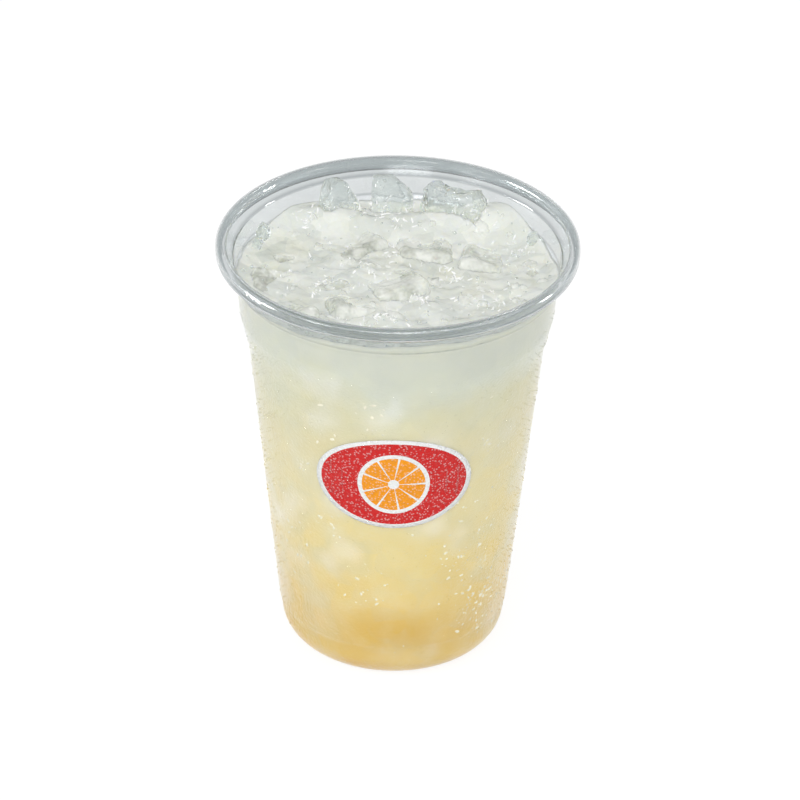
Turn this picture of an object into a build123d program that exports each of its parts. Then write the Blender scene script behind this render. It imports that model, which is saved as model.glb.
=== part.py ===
from build123d import *
import math
import os
import random

# A clear cold-drink cup full of lemonade and ice. Millimetres, +Z up.
# The origin is the centre of the foot ring, on the surface that the cup stands on.
# +Y is the side of the cup where the three proud pieces of ice lean.

# --- cup: thermoformed clear plastic, one sheet of even thickness -------------------
HEIGHT = 122.0            # foot to the crest of the rim
RIM_DIAMETER = 98.0       # over the rolled rim, the usual lid size
WALL = 0.45               # sheet thickness
BASE_DIAMETER = 61.4      # across the heel, above its rounding

ROLL_WIDTH = 3.0          # rolled rim, across
ROLL_HEIGHT = 4.0         # rolled rim, up and down
ROLL_BEND = 1.45          # outer bend radius over the top of the roll
LIP_LENGTH = 1.5          # the last stretch of sheet, tucked back under the roll
LIP_BEND = 1.35           # outer bend radius into that stretch

NECK_FLARE = 1.85         # the wall opens out by this much, just under the roll
NECK_RISE = 2.4
LID_BAND_HEIGHT = 5.4     # plain band under the flare
LID_BAND_TAPER = 0.5
LEDGE_WIDTH = 0.7         # small ledge that a stacked cup stops on
LEDGE_RISE = 1.0
SHOULDER_BAND_HEIGHT = 9.4
SHOULDER_BAND_TAPER = 0.85
SHOULDER_WIDTH = 2.5      # the body opens out here to the band above it
SHOULDER_RISE = 9.8
SHOULDER_BEND = 6.0
TIGHT_BEND = 0.1          # the sharpest bends of the wall, on their inner side

HEEL_RADIUS = 8.9         # rounding between the wall and the foot
HEEL_BAND_HEIGHT = 2.1    # upright band above the heel
HEEL_LEDGE_WIDTH = 0.7
HEEL_LEDGE_RISE = 1.2
FOOT_RING_WIDTH = 3.2     # flat ring that the cup stands on
PUSH_UP_HEIGHT = 3.2      # the middle of the base is domed up by this much
PUSH_UP_SLOPE = 5.0       # how far the rise takes, inwards from the foot ring
PUSH_UP_BEND = 3.0

# --- drink and ice -----------------------------------------------------------------
FILL_BELOW_RIM = 13.5     # from the crest of the rim down to the lemonade
ICE_GAP = 0.35            # between one piece of ice and the next, and the wall
ICE_MELT = 2.4            # how far the edges of a piece have melted round
ICE_DISH_DEPTH = 0.8      # the two broad faces are dished by this much
ICE_SEED = 5

# The pieces that lean on the back wall: bearing from +Y towards +X in degrees, width
# along the wall, height and thickness, how far the top stays below the crest of the
# rim, what has melted off its left and right top corners (across, down), and the
# depth of the dip melted into its top.
LEANING_ICE = [
    (-25.5, (13.0, 17.5, 8.0), 0.8, (3.8, 11.0), (4.4, 8.0), 0.0),
    (-2.5, (12.0, 15.5, 8.0), 1.4, (1.5, 3.0), (6.0, 5.5), 0.0),
    (24.0, (18.5, 14.5, 9.0), 1.7, (2.2, 2.6), (3.2, 3.6), 1.6),
]

# The heap: length x width x thickness of each kind in turn, and its greatest tilt.
HEAP_COUNT = 12
HEAP_KINDS = [
    ((17.0, 15.5, 10.0), 16.0),
    ((14.0, 12.5, 10.5), 24.0),
    ((11.5, 10.0, 8.5), 32.0),
]
HEAP_STANDS_PROUD = (1.6, 4.6)    # least and greatest height above the lemonade
HEAP_SINK_STEP = 0.3              # each further try lies this much deeper
SLIDE_STEP = 0.4                  # a piece comes in from the wall by such steps

PARALLEL = 1e-6                   # a crossing of two edges shorter than this shows nothing
WALL_SHARES = (-1, -0.5, 0, 0.5, 1)


def wall_outline():
    """Corners of the wall's outer face with the bend at each, from the axis up to the roll."""
    rim_inner = RIM_DIAMETER / 2 - ROLL_WIDTH + WALL
    flare_top = HEIGHT - ROLL_HEIGHT / 2
    flare_foot = flare_top - NECK_RISE
    ledge_top = flare_foot - LID_BAND_HEIGHT
    ledge_foot = ledge_top - LEDGE_RISE
    shoulder_top = ledge_foot - SHOULDER_BAND_HEIGHT
    shoulder_foot = shoulder_top - SHOULDER_RISE
    band_top = rim_inner - NECK_FLARE
    ledge_out = band_top - LID_BAND_TAPER
    ledge_in = ledge_out - LEDGE_WIDTH
    shoulder_out = ledge_in - SHOULDER_BAND_TAPER
    cone_top = shoulder_out - SHOULDER_WIDTH
    heel = BASE_DIAMETER / 2
    heel_top = HEEL_RADIUS + HEEL_BAND_HEIGHT
    ring_outer = heel - HEEL_RADIUS
    ring_inner = ring_outer - FOOT_RING_WIDTH
    tight = TIGHT_BEND + WALL
    return [
        ((0, PUSH_UP_HEIGHT), 0),
        ((ring_inner - PUSH_UP_SLOPE, PUSH_UP_HEIGHT), PUSH_UP_BEND),
        ((ring_inner, 0), PUSH_UP_BEND),
        ((heel, 0), HEEL_RADIUS),
        ((heel, heel_top), tight),
        ((heel + HEEL_LEDGE_WIDTH, heel_top + HEEL_LEDGE_RISE), tight),
        ((cone_top, shoulder_foot), SHOULDER_BEND),
        ((shoulder_out, shoulder_top), SHOULDER_BEND),
        ((ledge_in, ledge_foot), tight),
        ((ledge_out, ledge_top), tight),
        ((band_top, flare_foot), tight),
        ((rim_inner, flare_top), tight),
    ]


def roll_outline():
    """Corners of the roll's hollow side with the bend at each, over the top and down."""
    left = RIM_DIAMETER / 2 - ROLL_WIDTH + WALL
    right = RIM_DIAMETER / 2 - WALL
    top = HEIGHT - WALL
    bottom = HEIGHT - ROLL_HEIGHT + WALL
    return [
        ((left, top), ROLL_BEND - WALL),
        ((right, top), ROLL_BEND - WALL),
        ((right, bottom), LIP_BEND - WALL),
        ((right - LIP_LENGTH, bottom), 0),
    ]


def bent_line(corners):
    """One line through the corners, with each bend rounded to its own radius."""
    points = [point for point, bend in corners]
    bends = [bend for point, bend in corners[1:-1]]
    return FilletPolyline(*points, radius=bends)


def make_cup():
    line = bent_line(wall_outline() + roll_outline())
    sheet = make_face(offset(line, amount=WALL, side=Side.LEFT, closed=True))
    return revolve(Plane.XZ * sheet, Axis.Z)


def make_space():
    """Everything inside the cup, from its floor up to the crest of the rim."""
    corners = wall_outline()
    rim_inner = corners[-1][0][0]
    line = bent_line(corners + [((rim_inner, HEIGHT), 0)])
    inner_face = offset(line, amount=WALL, side=Side.LEFT, closed=False)
    floor_end, rim_end = sorted((inner_face @ 0, inner_face @ 1), key=lambda end: end.Y)
    lid = Polyline(rim_end, (0, rim_end.Y), floor_end)
    return revolve(Plane.XZ * make_face([*inner_face.edges(), *lid.edges()]), Axis.Z)


def inner_radius(height):
    """Radius of the wall's inner face at a height, on the straight lines of its outline."""
    corners = [point for point, bend in wall_outline()]
    for (low_r, low_z), (high_r, high_z) in zip(corners[3:], corners[4:]):
        if height <= high_z:
            share = max(height - low_z, 0.0) / max(high_z - low_z, ICE_GAP)
            return low_r + share * (high_r - low_r) - WALL
    return corners[-1][0] - WALL


def melted(block, size):
    """The block with its edges melted round and its two broad faces dished."""
    length, width, thickness = size
    block = fillet(block.edges(), ICE_MELT)
    reach = min(length, width) / 2 - ICE_MELT
    ball = (reach**2 + ICE_DISH_DEPTH**2) / (2 * ICE_DISH_DEPTH)
    above = thickness / 2 - ICE_DISH_DEPTH + ball
    block -= Pos(0, 0, above) * Sphere(ball)
    block -= Pos(0, 0, -above) * Sphere(ball)
    return block


def make_heap_ice(size):
    return melted(Box(*size), size)


def make_leaning_ice(size, left_cut, right_cut, dip):
    """A block that has lost its top corners, and the middle of its top if it has a dip."""
    width, height, thickness = size
    left, right, top = -width / 2, width / 2, height / 2
    outline = Polyline(
        (left, -top),
        (right, -top),
        (right, top - right_cut[1]),
        (right - right_cut[0], top),
        (left + left_cut[0], top),
        (left, top - left_cut[1]),
        close=True,
    )
    block = extrude(make_face(outline), thickness / 2, both=True)
    if dip:
        reach = (width - left_cut[0] - right_cut[0]) / 2
        ball = (reach**2 + dip**2) / (2 * dip)
        middle = (left_cut[0] - right_cut[0]) / 2
        block -= Pos(middle, top - dip + ball, 0) * Cylinder(ball, 2 * thickness)
    return melted(block, size)


class Piece:
    """A piece of ice in its place, as the block inside its melted edges."""

    def __init__(self, place, size):
        frame = Plane(place)
        self.place = place
        self.size = size
        self.centre = frame.origin
        self.axes = (frame.x_dir, frame.y_dir, frame.z_dir)
        self.halves = [side / 2 - ICE_MELT for side in size]
        self.corners = self.points((-1, 1))
        self.reach = math.hypot(*self.halves) + ICE_MELT

    def points(self, shares):
        """Points of the inner block, at these shares of its half sizes."""
        steps = [(a, b, c) for a in shares for b in shares for c in shares]
        return [self.centre + self.along(step) for step in steps]

    def along(self, step):
        x, y, z = (axis * (half * s) for axis, half, s in zip(self.axes, self.halves, step))
        return x + y + z

    def top(self):
        return max(corner.Z for corner in self.corners) + ICE_MELT

    def inside_wall(self, shares):
        """True if these points, with the melted edge round them, clear the wall."""
        for point in self.points(shares):
            room = inner_radius(point.Z) - ICE_MELT - ICE_GAP
            if math.hypot(point.X, point.Y) > room:
                return False
        return True

    def clears(self, other):
        """True if some direction shows a gap between the two pieces."""
        gap = 2 * ICE_MELT + ICE_GAP
        if (self.centre - other.centre).length >= self.reach + other.reach + ICE_GAP:
            return True
        crossings = [a.cross(b) for a in self.axes for b in other.axes]
        for direction in [*self.axes, *other.axes, *crossings]:
            if direction.length < PARALLEL:
                continue
            unit = direction.normalized()
            mine = [unit.dot(corner) for corner in self.corners]
            theirs = [unit.dot(corner) for corner in other.corners]
            if min(theirs) - max(mine) >= gap or min(mine) - max(theirs) >= gap:
                return True
        return False


def fits(piece, heap):
    if not piece.inside_wall((-1, 1)):
        return False
    if not all(piece.clears(other) for other in heap):
        return False
    return piece.inside_wall(WALL_SHARES)


def outermost(bearing, height, turn, size, heap):
    """The piece as near the wall as it fits on this bearing, or None if it fits nowhere."""
    reach = inner_radius(height)
    while reach > 0:
        piece = Piece(Rot(Z=-bearing) * Pos(0, reach, height) * turn, size)
        if fits(piece, heap):
            return piece
        reach -= SLIDE_STEP
    return None


def lean_against_wall(heap):
    """The proud pieces stand at the back and lean out as the wall does."""
    for bearing, size, below_rim, *_ in LEANING_ICE:
        top = HEIGHT - below_rim
        foot = top - size[1]
        lean = math.degrees(math.atan2(inner_radius(top) - inner_radius(foot), size[1]))
        heap.append(outermost(bearing, (top + foot) / 2, Rot(X=90 - lean), size, heap))


def scatter(heap, level):
    """Each piece of the heap takes the first free place, looking deeper try by try."""
    draw = random.Random(ICE_SEED)
    for number in range(HEAP_COUNT):
        size, most_tilt = HEAP_KINDS[number % len(HEAP_KINDS)]
        proud = draw.uniform(*HEAP_STANDS_PROUD)
        piece = None
        sunk = 0.0
        while piece is None:
            turn = Rot(Z=draw.uniform(0, 360))
            turn *= Rot(X=draw.uniform(-most_tilt, most_tilt))
            turn *= Rot(Y=draw.uniform(-most_tilt, most_tilt))
            height = level + proud - sunk - Piece(turn, size).top()
            piece = outermost(draw.uniform(0, 360), height, turn, size, heap)
            sunk += HEAP_SINK_STEP
        heap.append(piece)


def make_all():
    cup = make_cup()
    level = HEIGHT - FILL_BELOW_RIM
    heap = []
    lean_against_wall(heap)
    scatter(heap, level)
    leaning, scattered = heap[: len(LEANING_ICE)], heap[len(LEANING_ICE) :]
    ice = [
        piece.place * make_leaning_ice(size, left_cut, right_cut, dip)
        for piece, (_, size, _, left_cut, right_cut, dip) in zip(leaning, LEANING_ICE)
    ]
    ice += [piece.place * make_heap_ice(piece.size) for piece in scattered]
    drink = make_space() & Pos(0, 0, level / 2) * Box(RIM_DIAMETER, RIM_DIAMETER, level)
    drink = (drink - ice).solid()
    parts = {"cup": cup, "lemonade": drink}
    for number, piece in enumerate(ice, start=1):
        parts[f"ice_{number:02d}"] = piece
    return parts


os.makedirs("parts", exist_ok=True)
for name, shape in make_all().items():
    export_step(shape, f"parts/{name}.step")
    box = shape.bounding_box()
    print(f"{name}: volume {shape.volume:.0f}, z {box.min.Z:.2f} to {box.max.Z:.2f}")
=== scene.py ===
# %% [markdown]
# # A clear cold-drink cup of iced lemonade
# The cup, the drink and each piece of ice come from the CAD model, which is loaded
# first. The cup keeps its shape and gets a better plastic. The drink and the ice are
# remade as finer meshes in the same places, because a real drink has a curved
# surface and real ice is melted and scalloped.

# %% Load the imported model
import math
import random

import bpy
import numpy as np
from mathutils import Matrix, Vector, noise
from mathutils.bvhtree import BVHTree


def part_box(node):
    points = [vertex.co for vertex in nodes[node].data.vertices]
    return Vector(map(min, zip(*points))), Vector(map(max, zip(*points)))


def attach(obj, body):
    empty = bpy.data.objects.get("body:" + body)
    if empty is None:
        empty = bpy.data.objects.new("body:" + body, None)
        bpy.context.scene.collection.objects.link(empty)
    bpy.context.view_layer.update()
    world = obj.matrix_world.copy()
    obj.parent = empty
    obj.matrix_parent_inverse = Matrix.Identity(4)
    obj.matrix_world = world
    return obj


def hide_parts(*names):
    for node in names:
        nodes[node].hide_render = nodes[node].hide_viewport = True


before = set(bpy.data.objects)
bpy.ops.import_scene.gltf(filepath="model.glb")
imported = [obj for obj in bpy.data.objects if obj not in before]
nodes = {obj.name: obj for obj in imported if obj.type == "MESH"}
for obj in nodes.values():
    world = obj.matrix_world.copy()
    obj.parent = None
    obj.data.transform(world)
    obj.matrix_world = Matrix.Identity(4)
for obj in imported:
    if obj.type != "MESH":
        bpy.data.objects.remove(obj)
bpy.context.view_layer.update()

MM = 0.001
cup = nodes["cup"]
ice_nodes = sorted(name for name in nodes if name.startswith("ice_"))
print("nodes:", len(nodes), "pieces of ice:", len(ice_nodes))

# %% [markdown]
# ## Colours and nodes
# Colours are written as the hex values that a screen shows, and one function turns
# them to the linear values that a renderer adds up. A second small function adds a
# node, so that each material below reads as a list of its nodes.
#
# Clear things need two kinds of help. A renderer finds their soft shadows slowly, so
# shadow rays and scattered light go straight through them. And a ray that has been
# bent many times inside thin sheet would be given up as black, so after five bends it
# goes straight on too. Without that, the rolled rim would get a black inner edge.


# %% Helpers for colours and nodes
def colour(code):
    """A screen colour such as #FFCC00 as linear red, green, blue and alpha."""
    parts = [int(code[at : at + 2], 16) / 255 for at in (1, 3, 5)]
    return [c / 12.92 if c <= 0.04045 else ((c + 0.055) / 1.055) ** 2.4 for c in parts] + [1.0]


def add(tree, kind, sockets=None, **settings):
    """Adds a node: its settings by name, and what each socket is linked to or set to."""
    node = tree.nodes.new(kind)
    for name, value in settings.items():
        setattr(node, name, value)
    for name, value in (sockets or {}).items():
        if isinstance(value, bpy.types.NodeSocket):
            tree.links.new(value, node.inputs[name])
        else:
            node.inputs[name].default_value = value
    return node


def set_stops(ramp, stops):
    """Gives a colour ramp its stops, each a share of the way and a colour."""
    elements = ramp.color_ramp.elements
    while len(elements) < len(stops):
        elements.new(0.5)
    for element, (share, code) in zip(elements, stops):
        element.position = share
        element.color = colour(code)


def new_material(name):
    made = bpy.data.materials.new(name)
    made.use_nodes = True
    made.node_tree.nodes.clear()
    return made, made.node_tree


def finish_with(tree, shader):
    add(tree, "ShaderNodeOutputMaterial", {"Surface": shader})


MOST_BENDS = 5


def finish_clear(tree, shader, tint):
    """Ends a clear finish: soft light and often bent light go straight through, tinted."""
    path = add(tree, "ShaderNodeLightPath")
    soft = add(tree, "ShaderNodeMath", {
        0: path.outputs["Is Shadow Ray"], 1: path.outputs["Is Diffuse Ray"],
    }, operation="MAXIMUM")
    often_bent = add(tree, "ShaderNodeMath", {
        0: path.outputs["Ray Depth"], 1: MOST_BENDS,
    }, operation="GREATER_THAN")
    straight = add(tree, "ShaderNodeMath", {
        0: soft.outputs["Value"], 1: often_bent.outputs["Value"],
    }, operation="MAXIMUM")
    through = add(tree, "ShaderNodeBsdfTransparent", {"Color": colour(tint)})
    both = add(tree, "ShaderNodeMixShader", {
        0: straight.outputs["Value"], 1: shader, 2: through.outputs["BSDF"],
    })
    finish_with(tree, both.outputs["Shader"])


print("white is", colour("#FFFFFF"))

# %% [markdown]
# ## The plastic of the cup
# The cup is PET sheet, drawn over a mould while warm. That gives clear, hard, glossy walls with an index of
# refraction of 1.575. What the eye sees is mostly its edges: the rolled rim bends the light and looks grey,
# and thin dark lines show near the rim and under the roll. A ramp of pale greys over its height paints that
# grey and those lines into the sheet's tint, so they are painted shade.
#
# Three things break up its shine. Drawn sheet is faintly wavy. The roll rubs against
# other cups in a stack, so it is less glossy. And the chilled wall carries a mist of
# droplets too fine to model, which a pattern of small domes stands for.

# %% What changes up the wall
MIST_SIZE = 0.75 * MM
MISTY_BELOW, DRY_ABOVE = 100 * MM, 112 * MM
ROLL_FROM, ROLL_TO = 117.7 * MM, 118.3 * MM
PAINTED_GREYS_FROM, PAINTED_GREYS_TO = 111.5 * MM, 119.5 * MM
# The wall, a dark line painted as shade, the greyer band above it, a dark line under the roll painted as
# shade, and the roll in painted grey.
PAINTED_GREYS = [
    (0.06, "#E2E6E8"), (0.10, "#B4B9BB"), (0.19, "#D9DDDE"), (0.72, "#DDE1E2"), (0.79, "#AAB0B2"),
    (0.89, "#D2D7D8"),
]
print("grey bands over", round((PAINTED_GREYS_TO - PAINTED_GREYS_FROM) / MM, 1), "mm")

# %% Clear PET sheet
pet, tree = new_material("clear_pet_sheet")
place = add(tree, "ShaderNodeTexCoord").outputs["Object"]
height = add(tree, "ShaderNodeSeparateXYZ", {"Vector": place}).outputs["Z"]
waves = add(tree, "ShaderNodeTexNoise", {"Vector": place, "Scale": 1 / (9 * MM), "Detail": 1.0})
wavy = add(tree, "ShaderNodeBump", {
    "Height": waves.outputs["Fac"], "Strength": 0.12, "Distance": 0.4 * MM,
})
mist = add(tree, "ShaderNodeTexVoronoi", {"Vector": place, "Scale": 1 / MIST_SIZE})
chilled = add(tree, "ShaderNodeMapRange", {
    "Value": height, "From Min": MISTY_BELOW, "From Max": DRY_ABOVE, "To Min": 1.0, "To Max": 0.0,
})
domes = add(tree, "ShaderNodeMath", {
    0: mist.outputs["Distance"], 1: chilled.outputs["Result"],
}, operation="MULTIPLY")
misty = add(tree, "ShaderNodeBump", {
    "Height": domes.outputs["Value"], "Strength": 0.6, "Distance": 0.3 * MM,
    "Normal": wavy.outputs["Normal"],
}, invert=True)
rolled = add(tree, "ShaderNodeMapRange", {"Value": height, "From Min": ROLL_FROM, "From Max": ROLL_TO})
scuffed = add(tree, "ShaderNodeMapRange", {
    "Value": rolled.outputs["Result"], "To Min": 0.03, "To Max": 0.1,
})
share = add(tree, "ShaderNodeMapRange", {"Value": height, "From Min": PAINTED_GREYS_FROM, "From Max": PAINTED_GREYS_TO})
# Painted shade: this ramp paints the grey of the roll and the dark lines into the sheet's tint.
painted_greys = add(tree, "ShaderNodeValToRGB", {"Fac": share.outputs["Result"]})
set_stops(painted_greys, PAINTED_GREYS)
sheet = add(tree, "ShaderNodeBsdfPrincipled", {
    "Base Color": painted_greys.outputs["Color"],
    "Roughness": scuffed.outputs["Result"],
    "IOR": 1.575,
    "Transmission Weight": 1.0,
    "Normal": misty.outputs["Normal"],
})
finish_clear(tree, sheet.outputs["BSDF"], "#FAFBFB")
for slot in cup.material_slots:
    slot.material = pet
print("cup slots:", len(cup.material_slots))

# %% [markdown]
# ## Measuring the cup
# The drink has to fill the cup exactly, so the inner and outer faces of the wall are
# measured on the CAD mesh itself. Rays from a point inside find the inner face, from
# the middle of the floor up to the rim. Level rays from outside find the outer face.

# %% Measure the wall with rays
cup_faces = BVHTree.FromPolygons(
    [v.co for v in cup.data.vertices], [p.vertices for p in cup.data.polygons]
)
cup_low, cup_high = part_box("cup")
print("the cup is", round((cup_high - cup_low).z / MM, 1), "mm tall")
EYE_HEIGHT = 45 * MM


def inner_point(steepness):
    """Radius and height where a ray from the axis meets the inner face."""
    way = Vector((math.cos(steepness), 0, math.sin(steepness)))
    hit = cup_faces.ray_cast(Vector((0, 0, EYE_HEIGHT)), way)[0]
    return hit.x, hit.z


def inner_radius(height):
    return cup_faces.ray_cast(Vector((0, 0, height)), Vector((1, 0, 0)))[0].x


def outer_radius(height):
    return cup_faces.ray_cast(Vector((1, 0, height)), Vector((-1, 0, 0)))[0].x


TABLE_STEP, TABLE_TOP = 0.5, 121
FLOOR_TOP = 4 * MM
heights = np.arange(TABLE_STEP, TABLE_TOP, TABLE_STEP) * MM
inner_table = np.array([inner_radius(z) if z > FLOOR_TOP else 0 for z in heights])
outer_table = np.array([outer_radius(z) for z in heights])
halfway = 60 * MM
print("inner radius halfway up:", round(inner_radius(halfway) / MM, 2), "mm")
print("outer radius halfway up:", round(outer_radius(halfway) / MM, 2), "mm")

# %% [markdown]
# ## Making pieces
# Every new piece is a mesh given as points and faces. It rides on the cup, takes the material that it is
# given, and is shaded smooth unless its facets should show.


# %% Helper for a new piece
def new_piece(name, points, faces, finish, smooth=True, values=None):
    mesh = bpy.data.meshes.new(name)
    mesh.from_pydata([tuple(p) for p in points], [], [tuple(f) for f in faces])
    mesh.validate()
    mesh.polygons.foreach_set("use_smooth", [smooth] * len(mesh.polygons))
    for attribute, numbers in (values or {}).items():
        layer = mesh.attributes.new(attribute, "FLOAT", "POINT")
        layer.data.foreach_set("value", np.asarray(numbers, dtype=float))
    mesh.materials.append(finish)
    piece = bpy.data.objects.new(name, mesh)
    bpy.context.scene.collection.objects.link(piece)
    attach(piece, "root")
    mesh.calc_loop_triangles()
    print(name, "triangles:", len(mesh.loop_triangles))
    return piece


def faces_of(points, faces):
    return BVHTree.FromPolygons([Vector(p) for p in points], faces)


# %% [markdown]
# ## The ice
# Machine ice is frozen water, so it is clear with cloudy white parts where air was
# caught. In a drink it melts: edges round off, and shallow scallops are eaten into its
# faces, with fine ridges between them that catch the light. Its index of refraction
# is 1.31. The clear body is a transmitting surface, and a soft noise about 7 mm
# across makes it cloudy in patches.
#
# One function makes four looks: clear for the leaning and the sunk pieces, cloudy for the heap, a warm white
# for specks in the drink, which is frost with painted highlights, and a plain white for slivers and glints,
# which is painted highlight.


# %% Melting ice
def make_ice_look(name, clearest, cloudiest, body, pit_strength):
    """Ice whose clear body turns cloudy in soft patches, with fine wet pits all over."""
    look, tree = new_material(name)
    place = add(tree, "ShaderNodeTexCoord").outputs["Object"]
    cloud = add(tree, "ShaderNodeTexNoise", {
        "Vector": place, "Scale": 1 / (7 * MM), "Detail": 3.0, "Roughness": 0.6,
    })
    cloudy = add(tree, "ShaderNodeMapRange", {
        "Value": cloud.outputs["Fac"], "From Min": 0.4, "From Max": 0.62,
        "To Min": clearest, "To Max": cloudiest,
    })
    frost = add(tree, "ShaderNodeTexNoise", {"Vector": place, "Scale": 1 / (0.9 * MM), "Detail": 2.0})
    pits = add(tree, "ShaderNodeBump", {
        "Height": frost.outputs["Fac"], "Strength": pit_strength, "Distance": 0.18 * MM,
    })
    wet = add(tree, "ShaderNodeBsdfPrincipled", {
        "Base Color": colour(body),
        "Roughness": 0.06,
        "IOR": 1.31,
        "Transmission Weight": cloudy.outputs["Result"],
        "Normal": pits.outputs["Normal"],
    })
    finish_clear(tree, wet.outputs["BSDF"], "#FFFFFF")
    return look


clear_ice = make_ice_look("clear_melting_ice", 1.0, 0.7, "#E6EBE9", 1.0)
cloudy_ice = make_ice_look("cloudy_melting_ice", 0.7, 0.1, "#EBEDE7", 0.6)
# Warm white for frost, with the glints of bubbles painted into it as highlight.
frosty_ice = make_ice_look("frosty_ice_specks", 0.3, 0.0, "#FFF8E0", 0.6)
# Plain white bits that stand for glints: painted highlight.
white_painted_glints = make_ice_look("white_painted_glint_ice", 0.2, 0.0, "#FFFFFF", 0.6)

# %% [markdown]
# The pieces that stand out start from their CAD solids. Each is remeshed to an even
# grid, and its surface is eaten inwards by scallops, never outwards, so that no two
# pieces touch that didn't touch before.

# %% Eat scallops into a piece of ice
SCALLOP_SIZE = 4.0 * MM
SCALLOP_DEPTH = 0.55 * MM
PIT_SIZE = 1.3 * MM
PIT_DEPTH = 0.24 * MM


def scalloped(point, seed):
    """How deep the surface is eaten at a point: cups with ridges between, and pits."""
    where = point / SCALLOP_SIZE + Vector((seed, 0, 0))
    near = noise.voronoi(where)[0][0]
    cups = max(0.0, 1 - near * near * 1.6)
    pits = 0.5 + 0.5 * noise.noise(point / PIT_SIZE + Vector((0, seed, 0)))
    return SCALLOP_DEPTH * cups + PIT_DEPTH * pits


def melt(node, name, grid, seed, look):
    source = nodes[node]
    copy = source.data.copy()
    block = bpy.data.objects.new("block", copy)
    bpy.context.scene.collection.objects.link(block)
    block.modifiers.new("grid", "REMESH").voxel_size = grid
    bpy.context.view_layer.update()
    grown = block.evaluated_get(bpy.context.evaluated_depsgraph_get()).to_mesh()
    normals = [n.vector.copy() for n in grown.vertex_normals]
    points = [v.co - normals[v.index] * scalloped(v.co, seed) for v in grown.vertices]
    faces = [tuple(p.vertices) for p in grown.polygons]
    block.to_mesh_clear()
    bpy.data.objects.remove(block)
    bpy.data.meshes.remove(copy)
    piece = new_piece(name, points, faces, look)
    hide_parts(node)
    return points, faces


FINE_GRID = 0.4 * MM
LEANING = 3
standing = {}
for number, node in enumerate(ice_nodes, start=1):
    look = clear_ice if number <= LEANING else cloudy_ice
    standing[node] = melt(node, f"melted_{node}", FINE_GRID, 10 * number, look)

# %% [markdown]
# ## Ice below the surface
# About a third of what fills the cup is ice under the surface. It hardly shows as
# shapes, because lemonade is cloudy, but where a piece lies near the wall there is
# less drink in front of it, so that patch looks paler. The pieces are made as rounded
# blocks, dropped at random where they clear the wall, each other and the ice above.

# %% Rounded blocks of sunk ice
# Half sizes in millimetres, and the heights between which the middles of the blocks lie.
SUNK_SIZES = [(9.5, 8.5, 6.0), (8.0, 7.0, 6.0), (7.0, 6.0, 5.0)]
SUNK_FROM, SUNK_TO = 11, 103
TRIES = 9000
LEVEL = 108.5 * MM
UNDER_LEVEL, OVER_FLOOR, FROM_WALL = 1.5 * MM, 6 * MM, 0.15 * MM
FROM_OTHERS, NEARBY = 0.4 * MM, 26 * MM
HEAP_BOTTOM, UNDER_HEAP = 95 * MM, 1.0 * MM
AROUND, UP = 20, 11
draw = random.Random(21)


def block_points(half, turn, centre):
    """Points of a rounded block with these half sizes, turned and moved."""
    points = []
    for row in range(UP + 1):
        tilt = math.pi * row / UP
        for step in range(AROUND):
            bearing = 2 * math.pi * step / AROUND
            way = (math.sin(tilt) * math.cos(bearing), math.sin(tilt) * math.sin(bearing), math.cos(tilt))
            spread = sum(abs(w) ** 4 for w in way) ** -0.25
            points.append(centre + turn @ Vector(w * h * spread for w, h in zip(way, half)))
    return points


def block_faces(first):
    faces = []
    for row in range(UP):
        for step in range(AROUND):
            a = first + row * AROUND + step
            b = first + row * AROUND + (step + 1) % AROUND
            faces.append((a, a + AROUND, b + AROUND, b))
    return faces


def inside_block(points, half, turn, centre):
    """True if any of the points is inside the rounded block."""
    local = (np.array(points) - np.array(centre)) @ np.array(turn)
    return bool((((np.abs(local) / (np.array(half) + FROM_OTHERS)) ** 4).sum(axis=1) < 1).any())


standing_trees = [faces_of(*standing[node]) for node in ice_nodes]
sunk = []
for tries in range(TRIES):
    half = [side * MM * draw.uniform(0.85, 1.1) for side in SUNK_SIZES[tries % 3]]
    bearing = draw.uniform(0, 2 * math.pi)
    z = draw.uniform(SUNK_FROM, SUNK_TO) * MM
    room = inner_radius(z)
    reach = room - min(half) * draw.uniform(1.05, 1.9) if tries % 4 else draw.uniform(0, room)
    centre = Vector((reach * math.cos(bearing), reach * math.sin(bearing), z))
    spin = Matrix.Rotation(draw.uniform(0, 6.3), 3, "X") @ Matrix.Rotation(draw.uniform(0, 6.3), 3, "Z")
    if any((centre - other[2]).length < max(half) * 0.9 for other in sunk):
        continue
    points = block_points(half, spin, centre)
    array = np.array(points)
    limits = np.interp(array[:, 2], heights, inner_table) - FROM_WALL
    if array[:, 2].max() > LEVEL - UNDER_LEVEL or array[:, 2].min() < OVER_FLOOR:
        continue
    if (np.hypot(array[:, 0], array[:, 1]) > limits).any():
        continue
    close = [other for other in sunk if (centre - other[2]).length < NEARBY]
    if any(inside_block(points, *other[:3]) for other in close):
        continue
    if any(inside_block(other[3], half, spin, centre) for other in close):
        continue
    if array[:, 2].max() > HEAP_BOTTOM and any(
        tree.find_nearest(p, UNDER_HEAP)[0] for tree in standing_trees for p in points[::3]
    ):
        continue
    sunk.append((half, spin, centre, points))
print("sunk pieces:", len(sunk))

# %% Join the sunk ice into two pieces
sunk_points, sunk_faces = [], []
for half_of in (0, 1):
    points, faces = [], []
    for block in sunk[half_of::2]:
        faces += block_faces(len(points))
        points += block[3]
    new_piece(f"sunk_ice_{half_of + 1}", points, faces, clear_ice)
    sunk_faces += [tuple(i + len(sunk_points) for i in face) for face in faces]
    sunk_points += points
sunk_tree = faces_of(sunk_points, sunk_faces)
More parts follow.
